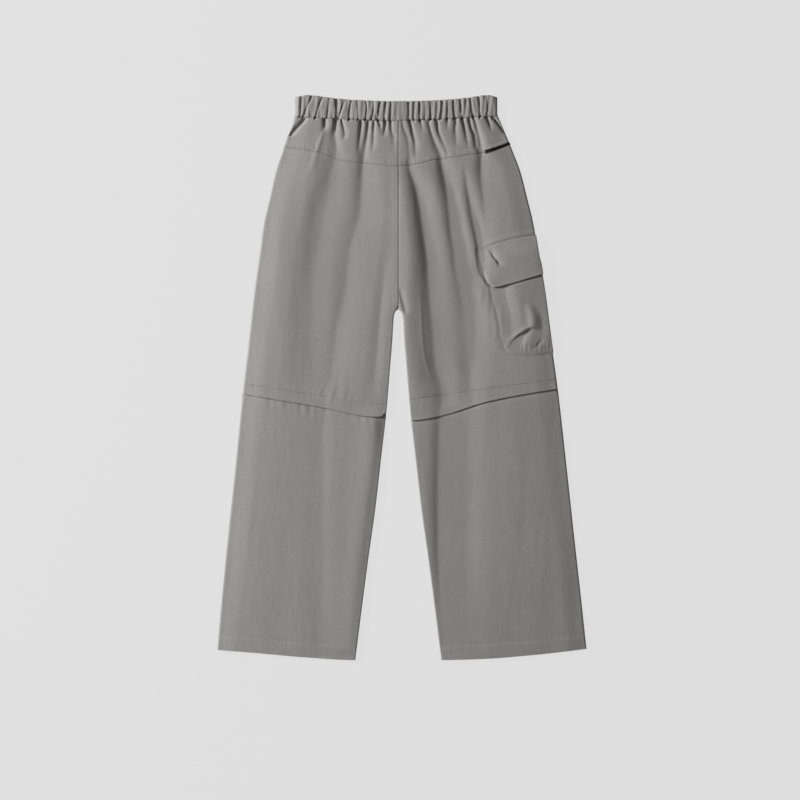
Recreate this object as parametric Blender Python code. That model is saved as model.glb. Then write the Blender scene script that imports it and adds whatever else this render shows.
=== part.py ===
"""Casual trousers with an elastic waist, laid flat with their back side up.

The frame has +X to the right, +Y towards the waist and +Z up, with the origin in the middle of the ground
under them. Sizes in this file are millimetres until a mesh is made. Each cut piece is a thin wall of cloth
between an outside and an inside surface. The front pieces lie flat on the ground, and the back pieces lie on
them with soft folds, and roll down to them at the outseams and inseams.
"""

import math

import bmesh
import bpy
import numpy as np

MM = 0.001

# Driving sizes
CLOTH = 1.0  # thickness of one layer of cloth
GAP = 0.3  # between pieces that are sewn to each other or lie on each other
SEAM_HEIGHT = 2.0  # of the outseams and inseams above the ground
BAND_SEAM_HEIGHT = 3.6  # of the waistband's two sides above the ground
THIGH_HEIGHT = 6.0  # of the back's outside above the ground, between its folds
YOKE_HEIGHT = 7.4  # of the same, along the waistband
ROLL = 6.0  # how far in from a seam the cloth has rolled level
MIDDLE = -6.5  # x of the centre seams and of the gap between the legs
CROTCH = 119.0  # y of the top of the gap between the legs
FLAP_COVER = 6.0  # how far the knee flap reaches down over the lower leg
FLAP_STEP = 1.4  # from the knee flap's outside down to the lower leg's outside
FRONT_BAND_HEIGHT = 3.4  # thickness of the front half of the waistband
BAND_INSIDE = 3.8  # height of the back half's plain inside
BAND_RIDGE = 8.6  # height of the back half's outside between its gathers
GATHER_WIDTH = 3.0  # of one gather of the elastic
POCKET_BULGE = 3.2  # how far the cargo pocket's middle stands proud
LID_LIFT = 0.6  # how far the pocket's lid stands off the bag
ZIP_WIDTH = 7.5
ZIP_START = 145.3  # x of the pocket zip's inner end
BAND_TURN = 3.0  # how far below its top edge the waistband starts to turn over
BAND_RIM = 0.25  # the share of its thickness that it keeps at the very edge
TUCK_LENGTH = 14.0  # over which the lower leg draws in to pass under the knee flap

ROLL_ANGLES = [math.radians(a) for a in (0, 32, 62)]


def table(columns, *rows):
    """A table with named columns: each is an array, one value for each row."""
    return dict(zip(columns.split(), np.array(rows, float).T, strict=True))


# The outseams, from the waistband down: the left and right edges of the trousers at each height
OUTSEAM = table(
    "y left right",
    (460, -187.3, 167.0),
    (442, -192.5, 175.0),
    (421, -201.3, 183.8),
    (400, -208.3, 192.5),
    (358, -222.0, 208.3),
    (316, -231.5, 219.0),
    (274, -241.5, 229.3),
    (211, -250.5, 240.0),
    (148, -259.2, 250.3),
    (64, -268.5, 261.3),
    (-20, -278.3, 273.0),
    (-146, -291.0, 287.3),
    (-272, -304.3, 301.0),
    (-398, -316.8, 315.0),
    (-480, -323.75, 323.75),
)
# The gap between the legs, from the crotch down
LEG_GAP = table(
    "y half",
    (CROTCH, GAP / 2),
    (117.6, 3.4),
    (114, 6.0),
    (106, 7.9),
    (64, 10.5),
    (22, 14.0),
    (-62, 21.0),
    (-146, 30.6),
    (-230, 40.2),
    (-314, 52.0),
    (-398, 63.0),
    (-494, 75.2),
)
# Lines across the trousers: the waistband's two edges, the seam under the yoke, and the hems
BAND_TOP = table(
    "x y",
    (-188, 490.5),
    (-166, 494.4),
    (-122, 489.5),
    (-80, 485.8),
    (-8, 483.9),
    (60, 485.5),
    (108, 489.2),
    (150, 494.4),
    (168, 490),
)
BAND_FOOT = table("x y", (-188, 455.9), (-7, 449.4), (168, 457.8))
YOKE_SEAM = table(
    "x y",
    (-208, 403.7),
    (-139, 393.4),
    (-103, 379.9),
    (-68, 375.6),
    (MIDDLE, 369.8),
    (26, 373.3),
    (57, 380.8),
    (90, 385.4),
    (118, 389.6),
    (150, 394.2),
    (194, 406.9),
)
HEM = table(
    "x y",
    (-323.75, -476.9),
    (-255, -482.1),
    (-177, -489.1),
    (-82, -494.4),
    (68, -494.4),
    (138, -492.6),
    (229, -485.6),
    (323.75, -475.1),
)
# The knee flap: its line of stitching and its free edge, on both legs
FLAP_STITCH = table(
    "x y",
    (-276, -10.7),
    (-143, -30.6),
    (-28, -46.4),
    (17, -38.0),
    (86, -28.5),
    (129, -21.9),
    (267, -3.9),
)
FLAP_EDGE = table(
    "x y",
    (-278, -28.9),
    (-144, -51.6),
    (-45, -68.6),
    (-28, -67.4),
    (17, -74.9),
    (61, -68.6),
    (146, -42.9),
    (205, -30.6),
    (275, -19.1),
)

# The large folds, by their path from the top down. A fold is a valley where its height is below zero.
FOLDS = (
    {"height": -2.4, "width": 10, "path": ((-119, 384), (-140, 349), (-161, 279), (-182, 188), (-186, 96))},
    {"height": -2.2, "width": 10, "path": ((-70, 370), (-77, 321), (-88, 265), (-109, 167), (-136, 13))},
    {"height": 1.8, "width": 12, "path": ((-98, 356), (-126, 276), (-146, 190))},
    {"height": 1.8, "width": 13, "path": ((-46, 346), (-56, 188), (-77, 60))},
    {"height": -1.3, "width": 7, "path": ((-42, 110), (-52, 10))},
    {"height": -2.8, "width": 10, "path": ((17, 367), (28, 307), (45, 153), (63, -4), (78, -38))},
    {"height": -2.4, "width": 10, "path": ((70, 374), (80, 293), (101, 171), (112, 10))},
    {"height": -2.2, "width": 8, "path": ((112, 358), (119, 321), (129, 262), (131, 236))},
    {"height": -1.6, "width": 8, "path": ((126, 400), (137, 377), (148, 300))},
    {"height": 1.5, "width": 12, "path": ((46, 350), (62, 240), (80, 90))},
    {"height": -1.2, "width": 22, "path": ((-150, -80), (-152, -300))},
    {"height": -2.0, "width": 11, "path": ((60, -60), (66, -230), (66, -400))},
    {"height": 1.2, "width": 26, "path": ((140, -60), (146, -420))},
)
FOLD_FADE = 34.0  # how far from its ends a fold has its full height

# The gathers of the elastic in the back of the waistband, from left to right
BAND_GATHERS = table(
    "top foot depth",
    (-176.8, -178.5, 1.4),
    (-155.8, -173, 2.2),
    (-142.5, -148.8, 2.2),
    (-127.8, -131.3, 1.3),
    (-116.4, -116.4, 3.4),
    (-102.5, -107.6, 2.2),
    (-88.7, -92.4, 3.1),
    (-80.0, -76.8, 1.2),
    (-63.4, -64.1, 3.1),
    (-49.7, -53.8, 2.3),
    (-37.8, -42, 3.1),
    (-28.2, -31.5, 2.7),
    (-19.2, -21.5, 2.0),
    (10.2, 13.1, 3.1),
    (20.3, 21.6, 1.2),
    (29.8, 31.6, 3.1),
    (38.6, 39.8, 1.1),
    (49.6, 49.6, 3.1),
    (58.6, 58.2, 1.2),
    (68.8, 66.4, 2.3),
    (78.8, 78.8, 1.2),
    (89.6, 91.9, 3.1),
    (101, 105.8, 3.1),
    (118.3, 124.4, 3.4),
    (132.8, 136.5, 3.0),
    (148.3, 147.7, 2.2),
)
# The creases that run down into the yoke from the waistband, from left to right
YOKE_CREASES = table(
    "top foot_x foot_y depth width",
    (-168.5, -194.8, 424, 3.2, 4),
    (-160.0, -173.0, 433, 1.8, 4),
    (-136.5, -137.0, 438, 1.9, 5),
    (-116.4, -117.8, 398, 2.9, 7),
    (-72.0, -68.4, 402, 2.4, 7),
    (-51.0, -52.0, 420, 1.9, 5),
    (-31.0, -33.0, 420, 1.9, 5),
    (12.3, 21.0, 414, 2.7, 6),
    (32.0, 32.0, 434, 1.5, 5),
    (50.0, 60.0, 394, 3.0, 7),
    (77.7, 77.7, 434, 1.4, 5),
    (95.0, 94.0, 422, 2.2, 5),
    (115.5, 133.0, 394, 3.2, 6),
    (148.0, 153.0, 431, 1.9, 5),
    (159.0, 176.0, 434, 2.6, 4),
)
FRONT_GATHERS = 24  # of the elastic in the front of the waistband
FRONT_GATHER_DEPTH = 1.6
BAND_TAIL = 12.0  # how far in from its sides the waistband has no gathers

# The cargo pocket on the right thigh: its lid's and its bag's left edges, from the top down
LID_LEFT = table(
    "y x", (226, 131.8), (222, 131.6), (208, 133.7), (185, 139.2), (170, 145.4), (164, 149), (160.5, 154)
)
LID_TOP = table("x y", (131, 222.6), (194, 242.4), (234, 248.9))
LID_FOOT = table("x y", (145, 160), (159, 158.2), (194, 165.4), (214, 171.5), (247, 181.3))
BAG_LEFT = table(
    "y x", (176, 152), (157, 154), (127, 161), (101, 168), (71, 173.3), (53, 178.6), (44, 184.6), (40.5, 190)
)
BAG_FOOT = table("x y", (180, 40.5), (220, 38.0), (262, 42.9))
BAG_TOP_COVER = 9.0  # how far the lid reaches down over the bag
# The bag's own folds: the tuck at its foot, and the hollows beside it
BAG_FOLDS = (
    {"height": -2.4, "width": 5, "path": ((219, 82), (205, 68), (191, 54))},
    {"height": 1.8, "width": 6, "path": ((226, 114), (226, 88), (222, 66))},
    {"height": -1.8, "width": 7, "path": ((240, 118), (236, 84), (228, 52))},
)

# The grids of the pieces
SETTLING_STEPS = 8  # to find where a row and a side edge meet
THIGH_ROWS = (10, 55, 86, 101, 109, 114, 117.6, CROTCH, 124, 134, 155, 190, 225, 260, 295, 330)
THIGH_FRONT_ROWS = (30, 86, 106, 114, 117.6, CROTCH, 124, 134, 180, 250, 316, 358, 400, 425)
LOWER_ROWS = (0, 0.09, 0.19, 0.29, 0.39, 0.49, 0.59, 0.69, 0.79, 0.88, 0.94, 0.975, 1)
LEG_COLUMNS = 22
FRONT_COLUMNS = 12
YOKE_ROWS = 8
YOKE_COLUMNS = 36
BAG_ROWS = (0, 0.05, 0.12, 0.22, 0.33, 0.45, 0.58, 0.7, 0.82, 0.92, 1)
BAG_COLUMNS = 12
LID_COLUMNS = 11
ZIP_COLUMNS = 9
FRONT_SAMPLES = 3  # columns for each gather of the front band

FINISHES = {  # colour and roughness
    "cloth": ((0.205, 0.2, 0.195, 1.0), 0.85),
    "zip": ((0.012, 0.012, 0.013, 1.0), 0.45),
}


def curve(at, places, values):
    """A smooth curve through the rows of a table that never overshoots them, read at any places."""
    order = np.argsort(places)
    p, v = places[order], values[order]
    step = np.diff(p)
    slope = np.diff(v) / step
    turn = np.zeros(len(p))
    same = slope[1:] * slope[:-1] > 0
    mean = 2 * slope[1:] * slope[:-1] / np.where(same, slope[1:] + slope[:-1], 1)
    turn[1:-1] = np.where(same, mean, 0)
    turn[0], turn[-1] = slope[0], slope[-1]
    n = np.clip(np.searchsorted(p, at) - 1, 0, len(step) - 1)
    u = np.clip((at - p[n]) / step[n], 0, 1)
    rest = 1 - u
    return (
        v[n] * rest**2 * (1 + 2 * u)
        + v[n + 1] * u**2 * (1 + 2 * rest)
        + step[n] * u * rest * (turn[n] * rest - turn[n + 1] * u)
    )


def ease(low, high, at):
    """From 0 at low to 1 at high, with no corner."""
    u = np.clip((at - low) / (high - low), 0, 1)
    return u * u * (3 - 2 * u)


def line(rows):
    """A line across the trousers, as the height y at each x."""
    return lambda x: curve(x, rows["x"], rows["y"])


def edge(rows, side):
    """A line down the trousers, as the place x at each height y."""
    return lambda y: curve(y, rows["y"], rows[side])


def moved(function, step):
    return lambda at: function(at) + step


def centre_edge(side, shrink=0.0):
    """The side of a leg, -1 or 1, by the middle: the centre seam above the crotch and the inseam below it."""

    def place(y):
        half = np.where(y > CROTCH, GAP / 2, curve(y, LEG_GAP["y"], LEG_GAP["half"]))
        return MIDDLE + side * (half + shrink * (y < CROTCH))

    return place


def always(y):
    return np.ones_like(y)


def below_crotch(y):
    """1 where the inner side of a leg is an inseam that rolls down, and 0 where it is the centre seam."""
    return 1 - ease(CROTCH - 8, CROTCH + 12, y)


def fold(x, y, path, height, width):
    """The height that one fold adds at (x, y)."""
    ys = np.array([p[1] for p in path], float)
    xs = np.array([p[0] for p in path], float)
    low, high = ys.min(), ys.max()
    fade = min(FOLD_FADE, (high - low) / 2)
    reach = ease(low - fade / 3, low + fade, y) * (1 - ease(high - fade, high + fade / 3, y))
    return height * reach * np.exp(-(((x - curve(y, ys, xs)) / width) ** 2))


def band_foot(x):
    return curve(x, BAND_FOOT["x"], BAND_FOOT["y"])


def yoke_creases(x, y):
    """The height that the creases under the waistband add at (x, y)."""
    total = np.zeros_like(x)
    for top, foot_x, foot_y, depth, width in zip(*YOKE_CREASES.values(), strict=True):
        start = band_foot(np.array(top))
        down = np.clip((start - y) / (start - foot_y), 0, 1)
        path = top + (foot_x - top) * down
        spread = width * (0.7 + 0.6 * down)
        total -= depth * (1 - ease(0.35, 1.0, down)) * np.exp(-(((x - path) / spread) ** 2))
    return total


def back_height(x, y):
    """The height of the back's outside above the ground."""
    near_band = ease(385, 452, y)
    height = THIGH_HEIGHT + (YOKE_HEIGHT - THIGH_HEIGHT) * near_band + yoke_creases(x, y)
    for row in FOLDS:
        height = height + fold(x, y, **row)
    return height


def lower_height(x, y):
    return back_height(x, y) - FLAP_STEP


def band_height(x, y):
    """The height of the waistband's outside, with its gathers as valleys."""
    up = np.clip((y - band_foot(x)) / (curve(x, BAND_TOP["x"], BAND_TOP["y"]) - band_foot(x)), 0, 1)
    height = np.full_like(x, BAND_RIDGE)
    for top, foot, depth in zip(*BAND_GATHERS.values(), strict=True):
        height -= depth * np.exp(-(((x - foot - (top - foot) * up) / GATHER_WIDTH) ** 2))
    return np.maximum(height, BAND_INSIDE + CLOTH)


def front_band_height(x, y):
    """The height of the front band's outside, which rests on the ground between its gathers."""
    left, right = OUTSEAM["left"][0] + BAND_TAIL, OUTSEAM["right"][0] - BAND_TAIL
    turn = (x - left) / (right - left) * FRONT_GATHERS
    inside = ease(0, 1, turn) * (1 - ease(FRONT_GATHERS - 1, FRONT_GATHERS, turn))
    return FRONT_GATHER_DEPTH * inside * (0.5 - 0.5 * np.cos(2 * math.pi * turn)) ** 3


def level(height):
    return lambda x, y: np.full_like(x, float(height))


def raised(surface, step):
    return lambda x, y: surface(x, y) + step


def bag_inside(x, y):
    """The inside of the cargo pocket's bag, which lies on the thigh along its edges and bulges in between."""
    left, foot = curve(y, BAG_LEFT["y"], BAG_LEFT["x"]), curve(x, BAG_FOOT["x"], BAG_FOOT["y"])
    bulge = POCKET_BULGE * ease(0, 26, x - left) * ease(0, 24, y - foot)
    for row in BAG_FOLDS:
        bulge = bulge + ease(0, 12, x - left) * fold(x, y, **row)
    return back_height(x, y) + GAP + np.maximum(bulge, 0)


def lid_inside(x, y):
    """The inside of the pocket's lid, which is sewn to the thigh along its top and lies on the bag below."""
    left, top = curve(y, LID_LEFT["y"], LID_LEFT["x"]), curve(x, LID_TOP["x"], LID_TOP["y"])
    on_bag = raised(bag_inside, CLOTH + GAP)(x, y) - back_height(x, y) - GAP
    return back_height(x, y) + GAP + (on_bag + LID_LIFT) * ease(-6, 2, x - left) * ease(-2, 60, top - y)


def material_of(name, finish):
    colour, roughness = FINISHES[finish]
    material = bpy.data.materials.new(name)
    material.use_nodes = True
    shader = material.node_tree.nodes["Principled BSDF"]
    shader.inputs["Base Color"].default_value = colour
    shader.inputs["Roughness"].default_value = roughness
    return material


def wall(name, outside, inside, finish):
    """A closed wall of cloth between two grids of points, (rows, columns, 3), as one object."""
    rows, columns = outside.shape[:2]
    points = np.concatenate([outside.reshape(-1, 3), inside.reshape(-1, 3)]) * MM
    out, back = np.arange(2 * rows * columns).reshape(2, rows, columns)
    rim = np.concatenate([out[0], out[1:, -1], out[-1, -2::-1], out[-2:0:-1, 0]])
    rim_back = rim + rows * columns
    quads = []
    for grid in (out, back):
        corners = [grid[:-1, :-1], grid[:-1, 1:], grid[1:, 1:], grid[1:, :-1]]
        quads.append(np.stack(corners, -1).reshape(-1, 4))
    quads.append(np.stack([rim, rim_back, np.roll(rim_back, -1), np.roll(rim, -1)], -1))
    mesh = bpy.data.meshes.new(name)
    mesh.from_pydata(points.tolist(), [], np.concatenate(quads).tolist())
    solid = bmesh.new()
    solid.from_mesh(mesh)
    bmesh.ops.recalc_face_normals(solid, faces=solid.faces)
    solid.to_mesh(mesh)
    solid.free()
    mesh.shade_smooth()
    mesh.set_sharp_from_angle(angle=math.radians(50))
    mesh.materials.append(material_of(name, finish))
    placed = bpy.data.objects.new(name, mesh)
    bpy.context.scene.collection.objects.link(placed)


def panel(
    name, sides, rolls, foot, top, outside, inside, seam, rows, columns, roll=ROLL, finish="cloth"
):
    """A piece of cloth between two side edges and two lines across.

    Each side rolls down to the height seam, as far as rolls says at each height y; None there leaves a side
    without rolled columns. rows are shares of the way from foot to top. columns are a number of even ones, or
    the shares of the way across at the foot and at the top.
    """
    if isinstance(columns, int):
        columns = (np.linspace(0, 1, columns),) * 2
    rolled = [ROLL_ANGLES if r else () for r in rolls]
    angles = np.concatenate([rolled[0], np.full(len(columns[0]), math.pi / 2), rolled[1][::-1]])
    left_of = len(rolled[0])
    right_of = len(angles) - len(rolled[1])
    up = np.array(rows, float)[:, None]
    across = columns[0] * (1 - up) + columns[1] * up
    part = up * np.ones(len(angles))
    room = [roll * bool(r) for r in rolls]

    def grid(inset, surface):
        y = foot(np.zeros_like(part)) * (1 - part) + top(np.zeros_like(part)) * part
        for _ in range(SETTLING_STEPS):
            turn = [r(y) if r else np.zeros_like(y) for r in rolls]
            low, high = sides[0](y), sides[1](y)
            x = np.empty_like(part)
            near = slice(None, left_of)
            mid = slice(left_of, right_of)
            far = slice(right_of, None)
            thin = inset * turn[0]
            x[:, near] = (low + thin + (room[0] - thin) * (1 - np.cos(angles)))[:, near]
            thin = inset * turn[1]
            x[:, far] = (high - thin - (room[1] - thin) * (1 - np.cos(angles)))[:, far]
            x[:, mid] = (low + room[0])[:, mid] * (1 - across) + (high - room[1])[:, mid] * across
            y = foot(x) * (1 - part) + top(x) * part
        z = surface(x, y)
        for side, turned in ((near, turn[0]), (far, turn[1])):
            rim = z + (seam - z) * turned
            z[:, side] = (rim + (z - rim) * np.sin(angles))[:, side]
        return np.stack([x, y, z], -1)

    wall(name, grid(0, outside), grid(CLOTH, inside), finish)


def even(count):
    return np.linspace(0, 1, count)


def rows_at(heights, foot, top, x):
    """Shares of the way from foot to top which pass through these heights at x."""
    low, high = foot(np.array([x])), top(np.array([x]))
    return np.concatenate([[0], (np.array(heights) - low) / (high - low), [1]])


def tucked(side_edge, inward, height):
    """A side edge drawn in above a height, so that the cloth passes under the knee flap."""
    return lambda y: side_edge(y) + inward * (CLOTH + GAP) * ease(height - TUCK_LENGTH, height, y)


def leg(side):
    """The name, the side edges and the rolls of one leg, -1 for the left one and 1 for the right."""
    name = "left" if side < 0 else "right"
    outer, inner = edge(OUTSEAM, name), centre_edge(side)
    sides = (outer, inner)[::-side]
    rolls = (always, below_crotch)[::-side]
    return name, sides, rolls


def back_of_leg(side):
    """Yoke, thigh, knee flap and lower leg, on the back of one leg."""
    name, sides, rolls = leg(side)
    stitch, flap_edge, seam = line(FLAP_STITCH), line(FLAP_EDGE), SEAM_HEIGHT + GAP / 2
    yoke_rolls = tuple(r if r is always else None for r in rolls)
    yoke_foot, yoke_top = moved(line(YOKE_SEAM), GAP / 2), moved(line(BAND_FOOT), -GAP)
    panel(
        f"yoke_back_{name}", sides, yoke_rolls, yoke_foot, yoke_top,
        back_height, raised(back_height, -CLOTH), seam, even(YOKE_ROWS), YOKE_COLUMNS,
    )
    foot, top = moved(stitch, GAP / 2), moved(line(YOKE_SEAM), -GAP / 2)
    rows = rows_at(THIGH_ROWS, foot, top, sides[side < 0](np.array([CROTCH]))[0])
    panel(
        f"thigh_back_{name}", sides, rolls, foot, top,
        back_height, raised(back_height, -CLOTH), seam, rows, LEG_COLUMNS,
    )
    panel(
        f"knee_flap_back_{name}", sides, (always, always), flap_edge, moved(stitch, -GAP / 2),
        back_height, raised(back_height, -CLOTH), seam, even(3), LEG_COLUMNS,
    )
    below = [flap_edge(s(np.zeros(1)))[0] - GAP for s in sides]
    inset = [tucked(s, inward, y) for s, inward, y in zip(sides, (1, -1), below, strict=True)]
    panel(
        f"lower_leg_back_{name}", inset, (always, always), line(HEM), moved(flap_edge, FLAP_COVER),
        lower_height, raised(lower_height, -CLOTH), seam, LOWER_ROWS, LEG_COLUMNS,
    )


def front_of_leg(side):
    """Thigh, knee flap and lower leg, on the front of one leg, flat on the ground."""
    name, sides, rolls = leg(side)
    stitch, flap_edge, seam = line(FLAP_STITCH), line(FLAP_EDGE), SEAM_HEIGHT - GAP / 2
    foot, top = moved(stitch, GAP / 2), moved(line(BAND_FOOT), -GAP)
    rows = rows_at(THIGH_FRONT_ROWS, foot, top, sides[side < 0](np.array([CROTCH]))[0])
    ground = (level(0), level(CLOTH), seam)
    both = (always, always)
    panel(f"thigh_front_{name}", sides, rolls, foot, top, *ground, rows, FRONT_COLUMNS)
    panel(
        f"knee_flap_front_{name}", sides, both, flap_edge, moved(stitch, -GAP / 2),
        *ground, even(2), FRONT_COLUMNS,
    )
    panel(
        f"lower_leg_front_{name}", sides, both, line(HEM), moved(flap_edge, -GAP),
        *ground, even(9), FRONT_COLUMNS,
    )


def folded_top(x, y):
    """How much of its thickness the waistband has left at (x, y), where it turns over its top edge."""
    down = np.clip((curve(x, BAND_TOP["x"], BAND_TOP["y"]) - y) / BAND_TURN, 0, 1)
    return np.sqrt(np.maximum(1 - (1 - down) ** 2, BAND_RIM**2))


def turned_over(surface, middle):
    """A band's surface, drawn to the height of the band's middle where it turns over its top edge."""
    return lambda x, y: middle + (surface(x, y) - middle) * folded_top(x, y)


def shares(places, low, high):
    return np.concatenate([[0], np.clip((places - low) / (high - low), 0, 1), [1]])


def waistband():
    """The elastic band's back half, gathered as it shows, and its front half on the ground."""
    sides, foot, top = (edge(OUTSEAM, "left"), edge(OUTSEAM, "right")), line(BAND_FOOT), line(BAND_TOP)
    low, high = OUTSEAM["left"][0] + ROLL, OUTSEAM["right"][0] - ROLL
    columns = []
    for key in ("foot", "top"):
        at = BAND_GATHERS[key]
        thirds = [at[:-1] + np.diff(at) * share for share in (1 / 3, 2 / 3)]
        columns.append(shares(np.sort(np.concatenate([at, *thirds])), low, high))
    height = BAND_TOP["y"].mean() - BAND_FOOT["y"].mean()
    rows = [0, 0.33, 0.66, *(1 - BAND_TURN / height * np.array([1, 0.45, 0.12])), 1]
    both = (always, always)
    middle = (BAND_INSIDE + BAND_RIDGE) / 2 - 1
    panel(
        "waistband_back", sides, both, foot, top,
        turned_over(band_height, middle), turned_over(level(BAND_INSIDE), middle),
        BAND_SEAM_HEIGHT + GAP / 2, rows, columns,
    )
    low, high = low + BAND_TAIL, high - BAND_TAIL
    turns = np.linspace(0, FRONT_GATHERS, FRONT_GATHERS * FRONT_SAMPLES + 1)
    front = shares(low + turns / FRONT_GATHERS * (high - low), low - BAND_TAIL, high + BAND_TAIL)
    middle = FRONT_BAND_HEIGHT / 2
    panel(
        "waistband_front", sides, both, foot, top,
        turned_over(front_band_height, middle), turned_over(level(FRONT_BAND_HEIGHT), middle),
        BAND_SEAM_HEIGHT - GAP / 2, rows, (front, front),
    )


def cargo_pocket():
    """The bag on the right thigh, sewn into the outseam on its right, and the lid over its mouth."""
    step = CLOTH + GAP
    outer = edge(OUTSEAM, "right")
    seam = SEAM_HEIGHT + GAP / 2
    panel(
        "cargo_pocket_bag", (edge(BAG_LEFT, "x"), moved(outer, step)), (None, always),
        line(BAG_FOOT), moved(line(LID_FOOT), BAG_TOP_COVER),
        raised(bag_inside, CLOTH), bag_inside, seam, BAG_ROWS, BAG_COLUMNS, roll=ROLL + CLOTH,
    )
    panel(
        "cargo_pocket_lid", (edge(LID_LEFT, "x"), moved(outer, 2 * step)), (None, always),
        line(LID_FOOT), line(LID_TOP),
        raised(lid_inside, CLOTH), lid_inside, seam, even(8), LID_COLUMNS, roll=ROLL + 2 * CLOTH,
    )


def pocket_zip():
    """The zip of the back pocket, in the seam under the right yoke, from its inner end to the outseam."""
    line_of_zip = line(YOKE_SEAM)
    panel(
        "pocket_zip", (lambda y: np.full_like(y, ZIP_START), moved(edge(OUTSEAM, "right"), CLOTH + GAP)),
        (None, always), moved(line_of_zip, -ZIP_WIDTH / 2), moved(line_of_zip, ZIP_WIDTH / 2),
        raised(back_height, GAP + CLOTH), raised(back_height, GAP),
        SEAM_HEIGHT + GAP / 2, even(2), ZIP_COLUMNS, roll=ROLL + CLOTH, finish="zip",
    )


def build():
    for old in list(bpy.data.objects):
        bpy.data.objects.remove(old)
    waistband()
    for side in (-1, 1):
        back_of_leg(side)
        front_of_leg(side)
    cargo_pocket()
    pocket_zip()


build()
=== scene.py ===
"""Looks of the casual trousers, laid flat with their back side up.

Sizes here are millimetres until a mesh is made. +X is to the right, +Y towards the waist and +Z up. Each
piece of cloth is a thin closed shell on the form of its solid, with its folds in full.
"""

import math

import bmesh
import bpy
import numpy as np
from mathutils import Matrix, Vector


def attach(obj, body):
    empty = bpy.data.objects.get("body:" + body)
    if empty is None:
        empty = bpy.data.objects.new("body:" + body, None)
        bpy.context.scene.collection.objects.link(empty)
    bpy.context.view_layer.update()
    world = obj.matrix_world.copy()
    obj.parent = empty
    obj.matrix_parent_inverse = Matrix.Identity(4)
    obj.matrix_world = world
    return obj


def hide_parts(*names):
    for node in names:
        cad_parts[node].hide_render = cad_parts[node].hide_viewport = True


MM = 0.001

# Sizes that the solids have too
GAP = 0.3  # between pieces
WALL = 1.0  # thickness of a solid's cloth
SEAM_HEIGHT = 2.0  # of the side seams, and of the waistband's
BAND_SEAM_HEIGHT = 3.6
ROLL = 6.0  # how far in from its sides a piece starts to turn, if nothing else is said
MIDDLE = -6.5  # x of the centre seams
CROTCH = 119.0  # y
FLAP_COVER = 6.0  # of the lower leg under the knee flap, and how much lower it lies
FLAP_STEP = 1.4
FRONT_BAND_HEIGHT = 3.4
BAND_INSIDE = 3.8
BAND_RIDGE = 8.6
LID_LIFT = 0.6
ZIP_WIDTH = 6.2
ZIP_PITCH = 3.2
ZIP_START = 145.3
BAND_TURN = 3.0  # height over which the band turns at its top, and the share of its thickness left
BAND_RIM = 0.25
TUCK_LENGTH = 14.0  # over which the lower leg draws in under the flap

# Sizes of the cloth here
CLOTH = 0.8  # thickness of one layer
LOWEST = 2.2  # of the back's outside, in its deepest creases
BACK_LEVEL = 8.8  # of the same between its folds
YOKE_LEVEL = 9.2  # and along the waistband
SEAM_STAGGER = 2.0  # of the front's seams from the back's, so that no light comes through
OUTER_ROLL = 3.6  # how far in the back starts to turn down from its outseam
INNER_ROLL = 1.5  # from its inseam
POCKET_ROLL = 1.8  # and at the pocket
HEM_DEPTH = 24.0  # from the hem's edge up to its stitching
UNDER_FLAP = 1.9  # how much higher the back stays over the tucked end
FLAP_SHADOW = 1.3  # how much deeper the lower leg lies under the flap's edge
INNER_HOLLOW = 3.2  # of the left lower leg, at the inner end of its flap
HEM_RISE = 0.45  # how much the turned-up hem stands proud
OUTSEAM_FALL = 2.6  # how much lower the cloth lies there, and over what width it falls
OUTSEAM_SLOPE = 38.0
INSEAM_FALL = 0.3
INSEAM_SLOPE = 14.0
YOKE_DEPTH = 0.3  # how much deeper the folds are along the waistband
SHARPNESS = 1.35  # of a valley: 2 is round, and 1 comes to an edge
ROUNDING = 0.01  # how blunt that edge is
STEEPEST = 0.45  # from a valley's path, its darkest line, to its lowest line, in widths
STRAIGHT = 400  # length of a wave that hardly changes on its way
SEAM_DIP = 0.4  # depth of the groove at a seam
YOKE_STITCH = 9.5  # from the yoke's seam up to its row of stitches
BEAD = 0.3  # height of the ripples along the waistband's seam
LID_GROOVE = 3.4  # depth of the thigh's groove beside the pocket's lid
BAG_RIDGE = 1.7  # height of its soft ridge beside the bag
LID_HOLLOW = 1.8  # depth of its hollow under the lid's corner
BAND_CROWN = 1.4  # how much higher the band is halfway up
BAND_DEPTH = 0.72  # of a gather's valley, in the gather's depths
GATHER_LEFT = 1.2  # a gather's widths, on the side where it drops and on the other
GATHER_RIGHT = 3.2
SHORT_CREASES = 40
FRONT_GATHERS = 24
FRONT_GATHER_DEPTH = 1.6
BAND_TAIL = 12.0  # without gathers, at each end of the front band
BAG_TOP_COVER = 9.0  # how far the bag goes up under its lid
BAG_BULGE = 3.8
LID_HEIGHT = 4.8
POCKET_FALL = 0.8  # share of the thigh's fall that the pocket makes up for
PRESSED = 0.35  # share of the cloth's thickness left at the bag's sewn edges
WEAVE = 0.55  # from one yarn to the next
STITCH = 2.1  # length of one stitch
STITCH_PITCH = 3.7
STITCH_INSET = 5  # from a leg's sides to the ends of a row
THREAD = 0.7

ROLL_ANGLES = [math.radians(a) for a in (0, 13, 26, 39, 52, 65, 78)]
SETTLING_STEPS = 7  # to find where a row and a side edge meet

# The stage, in metres
FLOOR_GLOW = 0.712
DAYLIGHT = 0.13
LIGHTS = {"key": ((-2.7, 0.88, 1.38), 0.9, 161), "fill": ((-0.8, -1.8, 1.9), 1.8, 8.5)}  # place, width, watts
CAMERA_PLACE = (-0.0035, -0.0394, 3.3116)


def table(columns, *rows):
    """A table with named columns: each is an array, one value for each row."""
    return dict(zip(columns.split(), np.array(rows, float).T, strict=True))


def fold_tables(folds):
    """Folds by name: each by its path from the top down, its height, and its widths to the left and right."""
    return {name: table("y x height left right", *rows) for name, rows in folds.items()}


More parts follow.
